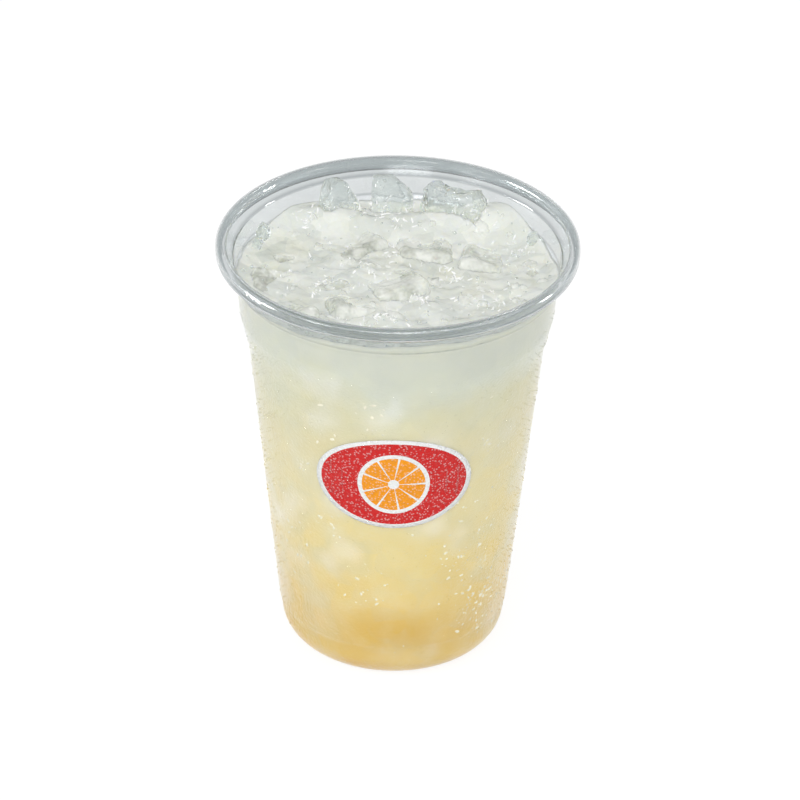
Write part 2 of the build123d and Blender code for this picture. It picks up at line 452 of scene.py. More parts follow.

# %% [markdown]
# ## The drink
# Lemonade is water, sugar and lemon juice with fine pulp, and the pulp makes it
# cloudy: light goes in a few millimetres, scatters and comes back out. So its surface
# is wet and smooth, and its body is a soft pale yellow. Sugar and juice sink while
# the ice melts at the top, so the top is nearly white and the foot is golden. It could
# be a volume full of pulp, but that renders slowly and can't be stored as textures, so
# the light is scattered just under a surface.
#
# The colour is a ramp over height that a broad swirl bends. Three marks on the mesh, made further down, tint
# it: white near sunk ice, a duller rim round that ice which is painted shade, and golden where syrup has
# settled, much stronger at the front of the foot, where that extra gold is painted shade. A haze of pulp
# about 8 mm across lies over that.
# The surface is half ice: bent grains of 5.5 mm, each a little greyer or paler, with
# dents between them. The same function makes the look against the wall, with few
# grains. There an index of 1.05 stands for lemonade touching the sheet, which hardly
# reflects where they meet.

# %% The strengths of the drink
SWIRL_SIZE, SWIRL_DRIFT = 22 * MM, 26 * MM
HAZE_SIZE = 8 * MM
GRAIN_SIZE, GRAIN_BEND = 5.5 * MM, 4 * MM
PULP_SIZE = 1.4 * MM
RAMP_FROM, RAMP_TO = 13 * MM, 121 * MM
STRENGTHS = [
    (0.00, "#E6BC5E"), (0.06, "#E7C46A"), (0.14, "#E8C773"), (0.26, "#EFD385"), (0.42, "#F0DA92"),
    (0.55, "#EEDEA5"), (0.70, "#E6DAAB"), (0.82, "#DFD9B2"), (0.92, "#DADCC9"),
]
# Near ice, painted shade at its edges, and syrup with painted shade at the front of the foot.
MARK_COLOURS = {"near_ice": "#FFFFFF", "painted_shade_at_ice_edge": "#C9C69A", "syrup_and_painted_shade": "#DFB23A"}
print("strengths from foot to surface:", len(STRENGTHS) + 1)


# %% Cloudy lemonade
def make_lemonade_look(name, index, rippling, topmost, iciness):
    """Lemonade from foot to surface, with its index, ripples, top colour and icy grains."""
    look, tree = new_material(name)
    place = add(tree, "ShaderNodeTexCoord").outputs["Object"]
    along = add(tree, "ShaderNodeSeparateXYZ", {"Vector": place})
    swirl = add(tree, "ShaderNodeTexNoise", {"Vector": place, "Scale": 1 / SWIRL_SIZE, "Detail": 2.0})
    drift = add(tree, "ShaderNodeMath", {0: swirl.outputs["Fac"], 1: SWIRL_DRIFT}, operation="MULTIPLY")
    shifted = add(tree, "ShaderNodeMath", {
        0: along.outputs["Z"], 1: drift.outputs["Value"],
    }, operation="ADD")
    share = add(tree, "ShaderNodeMapRange", {
        "Value": shifted.outputs["Value"], "From Min": RAMP_FROM, "From Max": RAMP_TO,
    })
    ramp = add(tree, "ShaderNodeValToRGB", {"Fac": share.outputs["Result"]})
    set_stops(ramp, STRENGTHS + [(1.0, topmost)])
    haze = add(tree, "ShaderNodeTexNoise", {"Vector": place, "Scale": 1 / HAZE_SIZE, "Detail": 4.0})
    hazy = add(tree, "ShaderNodeMapRange", {
        "Value": haze.outputs["Fac"], "From Min": 0.42, "From Max": 0.75, "To Min": 0.0, "To Max": 0.2,
    })
    bend = add(tree, "ShaderNodeVectorMath", {
        0: haze.outputs["Color"], "Scale": GRAIN_BEND,
    }, operation="SCALE")
    bent = add(tree, "ShaderNodeVectorMath", {0: place, 1: bend.outputs["Vector"]}, operation="ADD")
    grains = add(tree, "ShaderNodeTexVoronoi", {"Vector": bent.outputs["Vector"], "Scale": 1 / GRAIN_SIZE})
    shade = add(tree, "ShaderNodeSeparateColor", {"Color": grains.outputs["Color"]})
    icy = add(tree, "ShaderNodeMath", {0: shade.outputs[0], 1: iciness}, operation="MULTIPLY")
    tints = [
        (add(tree, "ShaderNodeAttribute", attribute_name=mark).outputs["Fac"], code)
        for mark, code in MARK_COLOURS.items()
    ] + [(hazy.outputs["Result"], "#F3EFD2"), (icy.outputs["Value"], "#C3CAC4")]
    now = ramp.outputs["Color"]
    for amount, code in tints:
        tinted = add(tree, "ShaderNodeMix", {0: amount, 6: now, 7: colour(code)}, data_type="RGBA")
        now = tinted.outputs[2]
    pulp = add(tree, "ShaderNodeTexNoise", {"Vector": place, "Scale": 1 / PULP_SIZE, "Detail": 3.0})
    crushed = add(tree, "ShaderNodeBump", {
        "Height": grains.outputs["Distance"], "Strength": iciness, "Distance": 1.2 * MM,
    }, invert=True)
    ripples = add(tree, "ShaderNodeBump", {
        "Height": pulp.outputs["Fac"], "Strength": rippling, "Distance": 0.4 * MM,
        "Normal": crushed.outputs["Normal"],
    })
    shader = add(tree, "ShaderNodeBsdfPrincipled", {
        "Base Color": now,
        "Roughness": 0.08,
        "IOR": index,
        "Subsurface Weight": 0.35,
        "Subsurface Radius": (1.0, 0.9, 0.6),
        "Subsurface Scale": 4 * MM,
        "Normal": ripples.outputs["Normal"],
    })
    finish_with(tree, shader.outputs["BSDF"])
    return look


lemonade_at_wall = make_lemonade_look("cloudy_lemonade_at_the_wall", 1.05, 0.1, "#D4D6C8", 0.1)
lemonade_surface = make_lemonade_look("cloudy_lemonade_surface", 1.34, 0.5, "#EAEDE7", 0.42)

# %% [markdown]
# The mesh of the drink is two nets that share a rim: one up the inside of the cup,
# reaching 0.2 mm into the wall so that no air shows between them, and one across the
# top. The top is slush: heaped higher at the front wall than at the back, banked up in
# front of the leaning ice, and lumpy. It climbs a little where it wets the wall and
# the ice, and dips under each piece of ice that stands out.

# %% The net up the inside of the cup
AROUND_DRINK = 400
INTO_WALL = 0.2 * MM
rim_angle = math.atan2(LEVEL - EYE_HEIGHT, inner_radius(LEVEL))
outline = [inner_point(a) for a in np.linspace(-math.pi / 2 + 0.02, rim_angle, 92)]
outline = np.array([(0, inner_point(-math.pi / 2)[1])] + outline)
along_line = np.gradient(outline, axis=0)
outward = np.stack([along_line[:, 1], -along_line[:, 0]], axis=1)
outward /= np.linalg.norm(outward, axis=1)[:, None]
outline += outward * INTO_WALL
outline[0, 0] = 0
outline[-1] = inner_radius(LEVEL) + INTO_WALL, LEVEL
print("floor of the drink:", np.round(outline[0] / MM, 2), "rim:", np.round(outline[-1] / MM, 2))

# %% The height of the surface
RINGS = 96
RIM_ROWS = 4
CLIMB = 0.5 * MM
CLIMB_REACH = 0.9 * MM
bearings = 2 * np.pi * np.arange(AROUND_DRINK) / AROUND_DRINK
standing_all = faces_of(
    [p for node in ice_nodes for p in standing[node][0]],
    [tuple(i + sum(len(standing[n][0]) for n in ice_nodes[:at]) for i in face)
     for at, node in enumerate(ice_nodes) for face in standing[node][1]],
)
circles = []
for node, tree in zip(ice_nodes, standing_trees):
    low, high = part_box(node)
    circles.append((((low + high) / 2).xy, (high - low).xy.length / 2, tree))
print("pieces standing in the surface:", len(circles))

# %% The heap of slush
HEAP_RADIUS = 44 * MM
# Bearings round the wall from +X, and the height of the slush there.
HEAP_BEARINGS = [-90, -30, 15, 40, 60, 90, 120, 150, 180, 225, 270]
HEAP_HEIGHTS = [114.0, 113.4, 111.0, 112.0, 110.8, 110.2, 110.8, 111.3, 111.4, 112.6, 114.0]
# Banks of slush: place, spread each way and rise, in millimetres.
MOUNDS = [(21, 31, 13, 6.5, 5.6), (-20, 31, 12, 6.5, 4.4), (0, 30, 12, 6, 2.4), (-8, 6, 12, 9, 1.2)]
# Lumps in the slush: their size and how far they rise or dip, in millimetres.
LUMPS = [(9, 1.1), (4.5, 0.6), (2.4, 0.3)]


def lumps(x, y):
    flat = Vector((x, y, 0))
    return sum(rise * noise.noise(flat / (size * MM)) for size, rise in LUMPS) * MM


def mound(x, y):
    """Rise of the banked slush at a place."""
    return sum(
        rise * MM * math.exp(-(((x / MM - at_x) / wide) ** 2) - ((y / MM - at_y) / deep) ** 2)
        for at_x, at_y, wide, deep, rise in MOUNDS
    )


def heaped_height(x, y):
    """The surface before it meets the ice: heaped at the wall, soft lumps in the middle."""
    bearing = (math.degrees(math.atan2(y, x)) + 90) % 360 - 90
    at_wall = np.interp(bearing, HEAP_BEARINGS, HEAP_HEIGHTS) * MM
    out = min(1.0, math.hypot(x, y) / HEAP_RADIUS)
    return LEVEL + (at_wall - LEVEL) * out**6 + mound(x, y) + lumps(x, y) * (1 - 0.5 * out**4)


# %% Where the surface meets the ice and the wall
OVER_ALL, UNDER_ICE = 130 * MM, 80 * MM
WET_REACH = 4 * MM
FULL_DIP, INTO_ICE = 0.8 * MM, 0.1 * MM
UP_WAY, DOWN_WAY = Vector((0, 0, 1)), Vector((0, 0, -1))


def surface_height(x, y):
    """Height of the drink at a place, with its climb up the ice and its dips under it."""
    height = heaped_height(x, y)
    hit = standing_all.find_nearest(Vector((x, y, height)), WET_REACH)
    if hit[0]:
        height += CLIMB * math.exp(-hit[3] / CLIMB_REACH)
    for centre, radius, tree in circles:
        if (Vector((x, y)) - centre).length > radius:
            continue
        top = tree.ray_cast(Vector((x, y, OVER_ALL)), DOWN_WAY)[0]
        if top is None or top.z < height:
            continue
        bottom = tree.ray_cast(Vector((x, y, UNDER_ICE)), UP_WAY)[0]
        share = min(1.0, (top.z - height) / FULL_DIP)
        height = min(height, height + share * (bottom.z + INTO_ICE - height))
    return height


def wall_at(z):
    return float(np.interp(z, heights, inner_table)) + INTO_WALL


rim_heights, rim_radii = [], []
for bearing in bearings:
    x, y = math.cos(bearing), math.sin(bearing)
    z = heaped_height(x * HEAP_RADIUS, y * HEAP_RADIUS) + CLIMB
    rim_heights.append(z)
    rim_radii.append(wall_at(z))
top_points = []
for ring in range(1, RINGS):
    for bearing, z, radius in zip(bearings, rim_heights, rim_radii):
        to_wall = radius * (1 - ring / RINGS)
        x = radius * ring / RINGS * math.cos(bearing)
        y = radius * ring / RINGS * math.sin(bearing)
        top_points.append((x, y, surface_height(x, y) + CLIMB * math.exp(-to_wall / CLIMB_REACH)))
middle = (0.0, 0.0, surface_height(0.0, 0.0))
lowest, highest = (pick(p[2] for p in top_points) / MM for pick in (min, max))
print("surface from", round(lowest, 2), "to", round(highest, 2), "mm")

# %% Join the two nets
points = [(0.0, 0.0, outline[0, 1])]
for radius, z in outline[1:]:
    points += [(radius * math.cos(b), radius * math.sin(b), z) for b in bearings]
for row in range(1, RIM_ROWS + 1):
    for bearing, z in zip(bearings, rim_heights):
        height = LEVEL + (z - LEVEL) * row / RIM_ROWS
        points.append((wall_at(height) * math.cos(bearing), wall_at(height) * math.sin(bearing), height))
rim_row = (len(points) - 1) // AROUND_DRINK
for ring in range(RINGS - 1, 0, -1):
    points += top_points[(ring - 1) * AROUND_DRINK : ring * AROUND_DRINK]
points.append(middle)
rows = (len(points) - 2) // AROUND_DRINK
faces, is_top = [], []
for step in range(AROUND_DRINK):
    after = (step + 1) % AROUND_DRINK
    faces.append((0, 1 + after, 1 + step))
    is_top.append(0)
    for row in range(rows - 1):
        a, b = 1 + row * AROUND_DRINK + step, 1 + row * AROUND_DRINK + after
        faces.append((a, b, b + AROUND_DRINK, a + AROUND_DRINK))
        is_top.append(int(row >= rim_row - 1))
    last = 1 + (rows - 1) * AROUND_DRINK
    faces.append((last + step, last + after, len(points) - 1))
    is_top.append(1)

# %% [markdown]
# Three numbers at each point of the mesh tell the material where ice lies behind the drink, where to paint
# shade round the edges of that ice, and where syrup has settled. The syrup is a soft band near the foot,
# thin all round and much stronger at the front, where the extra gold is painted shade. A noise blurs the
# patches of ice. It gets a seed, because without one it starts from the clock and changes from run to run.

# %% Colour marks on the drink
SYRUP_HEIGHT, SYRUP_SPREAD = 17 * MM, 6.5 * MM
# Syrup lies all round; the far larger share at the front is painted shade.
SYRUP_ALL_ROUND, PAINTED_SHADE_AT_FRONT = 0.12, 0.72
SEARCH = 9 * MM
BLUR_SIZE, BLUR_MOST = 7 * MM, 2.4 * MM
noise.seed_set(7)
NEAR_MOST, NEAR_REACH = 0.62, 3.4
EDGE_SHADE_MOST, EDGE_SHADE_AT, EDGE_SHADE_WIDTH = 0.3, 3.2, 1.1


def marks_at(point):
    """How near sunk ice is, how much painted shade its edge gets, and how much syrup and painted shade lie
    here.
    """
    where = Vector(point)
    blur = noise.noise_vector(where / BLUR_SIZE) * BLUR_MOST
    found = sunk_tree.find_nearest(where + blur, SEARCH)
    away = found[3] / MM if found[0] else 9.0
    softness = 0.5 + 0.5 * noise.noise(where / (11 * MM) + Vector((7, 0, 0)))
    near = NEAR_MOST * math.exp(-((away / NEAR_REACH) ** 2)) * softness
    # Painted shade: a darker rim round each patch of sunk ice.
    edge = EDGE_SHADE_MOST * math.exp(-(((away - EDGE_SHADE_AT) / EDGE_SHADE_WIDTH) ** 2)) * (1 - softness)
    # Painted shade: the band is far stronger at the front, for the deeper gold seen there.
    front = max(0.0, -where.y / max(math.hypot(where.x, where.y), 1e-6)) ** 3
    band = math.exp(-(((where.z - SYRUP_HEIGHT) / SYRUP_SPREAD) ** 2))
    uneven = 0.8 + 0.5 * noise.noise(where / (12 * MM))
    return near, edge, band * (SYRUP_ALL_ROUND + PAINTED_SHADE_AT_FRONT * front) * uneven


marks = [marks_at(p) for p in points]
values = {name: [m[at] for m in marks] for at, name in enumerate(MARK_COLOURS)}
drink = new_piece("lemonade_drink", points, faces, lemonade_at_wall, values=values)
drink.data.materials.append(lemonade_surface)
drink.data.polygons.foreach_set("material_index", is_top)
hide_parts("lemonade")

# %% [markdown]
# ## Small ice and crumbs
# Between the large pieces lie small ones and crumbs, broken off when the ice was
# scooped. Small pieces, 2.5 to 7.5 mm across, have melted round and lie mostly sunk.
# Crumbs, about 1 mm across, keep flat broken faces that flash. Each kind is one joined
# mesh of cut balls with their corners pushed about.


# %% Broken ice
def broken_bit(centre, size, draw, thin=1.0):
    """Points and faces of an irregular broken lump."""
    rows, around = 4, 6
    turn = Matrix.Rotation(draw.uniform(0, 6.3), 3, "Z")
    turn = turn @ Matrix.Rotation(draw.uniform(-1.1, 1.1), 3, "Y")
    turn = turn @ Matrix.Rotation(draw.uniform(0, 6.3), 3, "X")
    stretch = Vector((1.0, draw.uniform(0.6, 0.95) * thin, draw.uniform(0.5, 0.8) * thin))
    points = [centre + turn @ Vector((0, 0, size * stretch.z))]
    for row in range(1, rows):
        tilt = math.pi * row / rows
        for step in range(around):
            bearing = 2 * math.pi * (step + 0.5 * (row % 2)) / around
            reach = size * draw.uniform(0.75, 1.1)
            flat = math.sin(tilt)
            way = Vector((flat * math.cos(bearing), flat * math.sin(bearing), math.cos(tilt)))
            points.append(centre + turn @ (way * stretch * reach))
    points.append(centre - turn @ Vector((0, 0, size * stretch.z)))
    faces = []
    for step in range(around):
        after = (step + 1) % around
        faces.append((0, 1 + step, 1 + after))
        for row in range(rows - 2):
            a, b = 1 + row * around, 1 + (row + 1) * around
            faces += [(a + step, b + step, a + after), (a + after, b + step, b + after)]
        last = 1 + (rows - 2) * around
        faces.append((last + after, last + step, len(points) - 1))
    return points, faces


# %% Strew small ice and crumbs
STREW_RADIUS = 43.4 * MM
CRUMB_SIZE = 1 * MM


def strew(name, count, sizes, sunk_share, finish, seed, smooth):
    """Broken bits all over the slush. Crumbs may land on the large pieces too."""
    draw = random.Random(seed)
    points, faces = [], []
    for number in range(count):
        size = draw.uniform(*sizes) * MM / 2
        reach = (STREW_RADIUS - 1.1 * size) * math.sqrt(draw.random())
        bearing = draw.uniform(0, 2 * math.pi)
        x, y = reach * math.cos(bearing), reach * math.sin(bearing)
        z = heaped_height(x, y) + size * draw.uniform(*sunk_share)
        top = standing_all.ray_cast(Vector((x, y, OVER_ALL)), DOWN_WAY)[0]
        if top and top.z > z + size / 2:
            if size > CRUMB_SIZE:
                continue
            z = top.z
        bit, shape = broken_bit(Vector((x, y, z)), size, draw)
        faces += [tuple(len(points) + i for i in face) for face in shape]
        points += bit
    return new_piece(name, points, faces, finish, smooth=smooth)


strew("small_ice", 180, (2.5, 7.5), (-0.95, -0.35), cloudy_ice, 8, True)
strew("ice_crumbs", 170, (0.6, 1.7), (-0.3, 0.5), clear_ice, 9, False)

# %% [markdown]
# Where ice has just broken or melted through, thin slivers and ridges catch the light. Here they are
# flattened broken bits in plain white, so their brightness is a painted highlight. On the slush they lie in
# loose groups, and a few more painted glints lie on the lower part of the leaning ice.

# %% Painted glint slivers on the surface
SLIVER_RADIUS = 42 * MM
# Groups by place and spread in millimetres, and half their number.
SLIVER_GROUPS = [
    (-32, 2, 3, 14), (-20, -3, 4, 14), (-14, -19, 2, 9), (-5, -20, 4, 18), (-2, 15, 2.5, 6),
    (12, 10, 2.5, 7), (6, -8, 2, 16), (17, 4, 3, 8), (27, -9, 4, 14), (35, 17, 4, 12),
    (-24, 29, 4, 16), (0, 30, 6, 14), (22, 29, 5, 14), (0, 0, 20, 60),
]
draw = random.Random(31)
points, faces = [], []
for x, y, spread, count in SLIVER_GROUPS:
    for number in range(2 * count):
        place = Vector((draw.gauss(x, spread * 0.7), draw.gauss(y, spread * 0.7))) * MM
        size = draw.uniform(0.35, 1.25) * MM
        if place.length > SLIVER_RADIUS - size:
            continue
        z = heaped_height(*place) + draw.uniform(0.05, 0.3) * MM
        bit, shape = broken_bit(Vector((place.x, place.y, z)), size, draw, thin=0.28)
        faces += [tuple(len(points) + i for i in face) for face in shape]
        points += bit
# Painted highlight: the slivers are plain white bits that stand for glints.
new_piece("ice_slivers", points, faces, white_painted_glints, smooth=False)

# %% Three loose pieces at the wall
AT_WALL = [(-36.5, 19.5, 113.0, 2.9), (36.6, 18.6, 112.8, 2.9), (-38.0, 15.5, 111.6, 2.3)]
points, faces = [], []
for x, y, z, size in AT_WALL:
    bit, shape = broken_bit(Vector((x, y, z)) * MM, size * MM, draw)
    faces += [tuple(len(points) + i for i in face) for face in shape]
    points += bit
new_piece("ice_at_wall", points, faces, clear_ice, smooth=False)

# %% Painted glints on the leaning ice
GLINTS = 170
GLINTS_FROM, GLINTS_TO = 109.5 * MM, 117.5 * MM
GLINTS_THIN_OUT = 5 * MM
draw = random.Random(17)
points, faces = [], []
for node in ice_nodes[:LEANING]:
    corners = standing[node][0]
    for number in range(GLINTS):
        place = corners[draw.randrange(len(corners))]
        if not GLINTS_FROM < place.z < GLINTS_TO - draw.random() ** 0.5 * GLINTS_THIN_OUT:
            continue
        bit, shape = broken_bit(place, draw.uniform(0.4, 1.1) * MM, draw, thin=0.3)
        faces += [tuple(len(points) + i for i in face) for face in shape]
        points += bit
# Painted highlight: white bits that stand for glints on the ice.
new_piece("painted_ice_glints", points, faces, white_painted_glints, smooth=False)

# %% [markdown]
# ## Specks at the wall
# Air bubbles and frost on the sunk ice touch the wall in places, and show as small groups of bright specks
# in the drink. The specks are warm white: the frost is white of itself, and the glints of the bubbles are
# painted into that white as highlight. Most are low on one side. Each speck is a flat disc with six uneven
# corners and a peak on each side, and it lies where the drink meets the wall, so it shows through the sheet.

# %% Groups of specks
# Groups by bearing in degrees, height and spread in millimetres, and number.
SPECK_GROUPS = [
    (-45, 24, 3, 36), (-30, 22, 7, 66), (-55, 38, 4, 34), (-47, 46, 2, 16), (-58, 56, 3, 12),
    (-47, 76, 2, 12), (-130, 68, 2, 9), (-128, 84, 2, 5), (-119, 80, 2, 6), (-97, 91, 2.5, 12),
    (-122, 51, 3, 12), (-143, 43, 3, 8), (-138, 34, 2, 6), (-98, 26, 2.5, 7), (-65, 41, 3, 9),
    (-93, 32, 8, 10), (-48, 18, 4, 16), (-90, 60, 25, 30),
]
SPECKS_FROM, SPECKS_TO = 10.0, 100.0
SPECK_CORNERS = 6
SPECK_DEPTH = 0.13 * MM


def flat_speck(radius, turned, high, size, draw):
    """Corners round a flat speck that hugs the wall, then its outer and inner peaks."""
    corners = []
    long, slant = draw.uniform(1.0, 1.9), draw.uniform(0, math.pi)
    for step in range(SPECK_CORNERS):
        angle = 2 * math.pi * step / SPECK_CORNERS
        across = size * long * math.cos(angle)
        along = size * draw.uniform(0.6, 1.0) * math.sin(angle)
        east = across * math.cos(slant) - along * math.sin(slant)
        north = across * math.sin(slant) + along * math.cos(slant)
        corners.append((radius, turned + east / radius, high + north))
    corners += [(radius + SPECK_DEPTH, turned, high), (radius - SPECK_DEPTH, turned, high)]
    return [(r * math.cos(b), r * math.sin(b), z) for r, b, z in corners]


draw = random.Random(12)
other_side = [(draw.uniform(-20, 220), draw.uniform(15, 90), draw.uniform(4, 8), 14) for _ in range(9)]
points, faces = [], []
for bearing, z, spread, count in SPECK_GROUPS + other_side:
    for number in range(count):
        high = min(SPECKS_TO, max(SPECKS_FROM, draw.gauss(z, spread))) * MM
        radius = float(np.interp(high, heights, inner_table))
        turned = math.radians(bearing) + draw.gauss(0, spread * MM) / radius
        size = (0.15 + 0.48 * draw.random() ** 2) * MM
        first = len(points)
        points += flat_speck(radius + INTO_WALL, turned, high, size, draw)
        for step in range(SPECK_CORNERS):
            a, b = first + step, first + (step + 1) % SPECK_CORNERS
            faces += [(a, b, first + SPECK_CORNERS), (b, a, first + SPECK_CORNERS + 1)]
# Partly painted highlight: warm white specks for frost and for the glints of bubbles.
new_piece("wall_specks", points, faces, frosty_ice, smooth=False)

# %% [markdown]
# ## The print
# The cup carries a plain oval print 44 by 29 mm: a citrus wheel on a red ground.
# It was screen printed, so the ink is an even film on the outer wall, a few hundredths of a millimetre
# thick. The mist of droplets lies on it too: its domes are a bump, and their highlights are painted into the
# ink as fine pale dots. It could be a picture laid on the wall, but a mesh keeps its edges sharp from close
# by. So it is a disc of rings and steps laid round the wall, and each face takes the ink of the ring and
# segment that it falls in.


# %% Inks
def make_ink(name, code):
    """Printed ink under a mist of droplets, with their highlights painted in as pale dots."""
    look, tree = new_material(name)
    place = add(tree, "ShaderNodeTexCoord").outputs["Object"]
    mist = add(tree, "ShaderNodeTexVoronoi", {"Vector": place, "Scale": 1 / MIST_SIZE})
    beads = add(tree, "ShaderNodeBump", {
        "Height": mist.outputs["Distance"], "Strength": 1.0, "Distance": 0.4 * MM,
    }, invert=True)
    # Painted highlights: pale dots mixed into the ink where each droplet's dome would catch the light.
    painted_drop_glints = add(tree, "ShaderNodeMapRange", {
        "Value": mist.outputs["Distance"],
        "From Min": 0.18, "From Max": 0.4, "To Min": 0.3, "To Max": 0.0,
    })
    ink_with_painted_glints = add(tree, "ShaderNodeMix", {
        0: painted_drop_glints.outputs["Result"], 6: colour(code), 7: colour("#FFFFFF"),
    }, data_type="RGBA")
    film = add(tree, "ShaderNodeBsdfPrincipled", {
        "Base Color": ink_with_painted_glints.outputs[2], "Roughness": 0.15, "IOR": 1.3, "Normal": beads.outputs["Normal"],
    })
    finish_with(tree, film.outputs["BSDF"])
    return look


WHITE, RED, AMBER = 0, 1, 2
inks = [
    make_ink("white_ink", "#E6E8E8"),
    make_ink("red_ink", "#C81B1A"),
    make_ink("amber_ink", "#EB9512"),
]
print("inks:", len(inks))

# %% The printed disc
# Each ring of the disc by its half width and half height, in millimetres.
PRINT_RINGS = [
    (0.0, 0.0), (0.9, 0.9), (1.5, 1.5), (4.0, 4.0), (6.4, 6.4), (8.6, 8.6), (9.2, 9.2), (9.8, 9.8),
    (13.0, 11.0), (16.6, 12.2), (20.4, 13.4), (21.9, 14.7),
]
WHEEL_PITH, WHEEL_RIM, RED_FROM, RED_TO = 1.5, 8.6, 9.8, 20.4
PRINT_STEPS = 180
SEGMENTS = 9
PRINT_HEIGHT = 68.2 * MM
PRINT_BEARING = math.radians(-90.3)
FILM_LOW, FILM_HIGH = -0.02 * MM, 0.03 * MM


def on_wall(across, along, lift):
    """A place on the printed disc, laid on the outer wall."""
    z = PRINT_HEIGHT + along * MM
    radius = float(np.interp(z, heights, outer_table))
    bearing = PRINT_BEARING + across * MM / radius
    return (radius + lift) * math.cos(bearing), (radius + lift) * math.sin(bearing), z


def ink_at(ring, step):
    inside, outside = PRINT_RINGS[ring][0], PRINT_RINGS[ring + 1][0]
    wedge = step % (PRINT_STEPS // SEGMENTS)
    if WHEEL_PITH <= inside and outside <= WHEEL_RIM and 1 <= wedge < PRINT_STEPS // SEGMENTS - 1:
        return AMBER
    return RED if inside >= RED_FROM and outside <= RED_TO else WHITE


points, faces, films = [], [], []
rings = len(PRINT_RINGS)
for lift in (FILM_HIGH, FILM_LOW):
    for wide, tall in PRINT_RINGS[1:]:
        for step in range(PRINT_STEPS):
            angle = 2 * math.pi * step / PRINT_STEPS
            points.append(on_wall(wide * math.cos(angle), tall * math.sin(angle), lift))
centre_high = len(points)
points.append(on_wall(0, 0, FILM_HIGH))
points.append(on_wall(0, 0, FILM_LOW))
layer = (rings - 1) * PRINT_STEPS
for step in range(PRINT_STEPS):
    after = (step + 1) % PRINT_STEPS
    faces += [(centre_high, step, after), (centre_high + 1, layer + after, layer + step)]
    films += [WHITE, WHITE]
    for ring in range(1, rings - 1):
        a, b = (ring - 1) * PRINT_STEPS, ring * PRINT_STEPS
        faces.append((a + step, b + step, b + after, a + after))
        faces.append((layer + a + after, layer + b + after, layer + b + step, layer + a + step))
        films += [ink_at(ring, step)] * 2
    edge = layer - PRINT_STEPS
    faces.append((edge + step, layer + edge + step, layer + edge + after, edge + after))
    films.append(WHITE)
badge = new_piece("oval_print", points, faces, inks[0])
for ink in inks[1:]:
    badge.data.materials.append(ink)
badge.data.polygons.foreach_set("material_index", films)

# %% [markdown]
# ## Condensation
# Damp air leaves drops of water all over the outside of a cold cup. The larger ones are
# modelled, as low domes 0.2 to 0.6 mm across, because they show against the edge of
# the cup, where a pattern on the wall would not. They are one joined mesh of domes
# with six corners that sit slightly into the wall, spread at random over its area.

# %% Water
water, tree = new_material("condensed_water")
drop = add(tree, "ShaderNodeBsdfPrincipled", {
    "Base Color": colour("#FFFFFF"), "Roughness": 0.02, "IOR": 1.333, "Transmission Weight": 1.0,
})
finish_clear(tree, drop.outputs["BSDF"], "#FFFFFF")

# %% Drops on the wall
DROPS = 4200
DROPS_FROM, DROPS_RANGE = 6, 98
# Rows of corners up a drop: share of its radius, and share of its rise. Then its peak.
DROP_ROWS = ((1.0, 0.0), (0.72, 0.62))
DROP_PEAK = 0.85
DROP_CORNERS = 6
DROP_SINK = 0.03
SLOPE_STEP = 0.5 * MM
draw = random.Random(4)
points, faces = [], []
for count in range(DROPS):
    z = (DROPS_FROM + DROPS_RANGE * draw.random() ** 0.9) * MM
    bearing = draw.uniform(0, 2 * math.pi)
    size = (0.1 + 0.18 * draw.random() ** 3) * MM
    radius = np.interp(z, heights, outer_table)
    slope = math.atan2(np.interp(z + SLOPE_STEP, heights, outer_table) - radius, SLOPE_STEP)
    level_out = Vector((math.cos(bearing), math.sin(bearing), 0))
    out = level_out * math.cos(slope) - UP_WAY * math.sin(slope)
    side = Vector((-math.sin(bearing), math.cos(bearing), 0))
    rise = out.cross(side)
    centre = level_out * radius + UP_WAY * z - out * DROP_SINK * MM
    first = len(points)
    tall = size * draw.uniform(1.0, 1.25)
    for spread, lift in DROP_ROWS:
        for step in range(DROP_CORNERS):
            angle = 2 * math.pi * step / DROP_CORNERS
            level = side * size * math.cos(angle) + rise * tall * math.sin(angle)
            points.append(centre + level * spread + out * size * lift)
    points.append(centre + out * size * DROP_PEAK)
    for step in range(DROP_CORNERS):
        a, b = first + step, first + (step + 1) % DROP_CORNERS
        higher_a, higher_b = a + DROP_CORNERS, b + DROP_CORNERS
        faces += [(a, b, higher_b, higher_a), (higher_a, higher_b, first + 2 * DROP_CORNERS)]
new_piece("condensation", points, faces, water)

# %% [markdown]
# ## Floor, world and lamps
# A white floor and white surroundings are seen by the camera and through the cup. The
# floor still takes a soft shadow, because part of it is plain diffuse white.

# %% Floor
WHITE_SHARE = 0.8
HALF_FLOOR = 4.0
floor_look, tree = new_material("white_floor")
path = add(tree, "ShaderNodeLightPath")
clearly = add(tree, "ShaderNodeMath", {
    0: path.outputs["Is Camera Ray"], 1: path.outputs["Is Transmission Ray"],
}, operation="MAXIMUM")
seen = add(tree, "ShaderNodeMath", {
    0: clearly.outputs["Value"], 1: path.outputs["Is Glossy Ray"],
}, operation="MAXIMUM")
part = add(tree, "ShaderNodeMath", {0: seen.outputs["Value"], 1: WHITE_SHARE}, operation="MULTIPLY")
matt = add(tree, "ShaderNodeBsdfDiffuse", {"Color": colour("#FAFAFA")})
bright = add(tree, "ShaderNodeEmission", {"Color": colour("#FFFFFF"), "Strength": 1.1})
both = add(tree, "ShaderNodeMixShader", {
    0: part.outputs["Value"], 1: matt.outputs["BSDF"], 2: bright.outputs["Emission"],
})
finish_with(tree, both.outputs["Shader"])
mesh = bpy.data.meshes.new("floor")
corners = [(-1, -1), (1, -1), (1, 1), (-1, 1)]
mesh.from_pydata([(x * HALF_FLOOR, y * HALF_FLOOR, 0) for x, y in corners], [], [(0, 1, 2, 3)])
mesh.materials.append(floor_look)
floor = bpy.data.objects.new("floor", mesh)
bpy.context.scene.collection.objects.link(floor)
print("floor:", 2 * HALF_FLOOR, "m wide")

# %% [markdown]
# The world has three faces. The camera sees it white. Clear and shiny things see it
# dimmer towards the ceiling, which gives the rim and the ice their greys. And it
# lights matt things softly, with less from above and from the two sides.

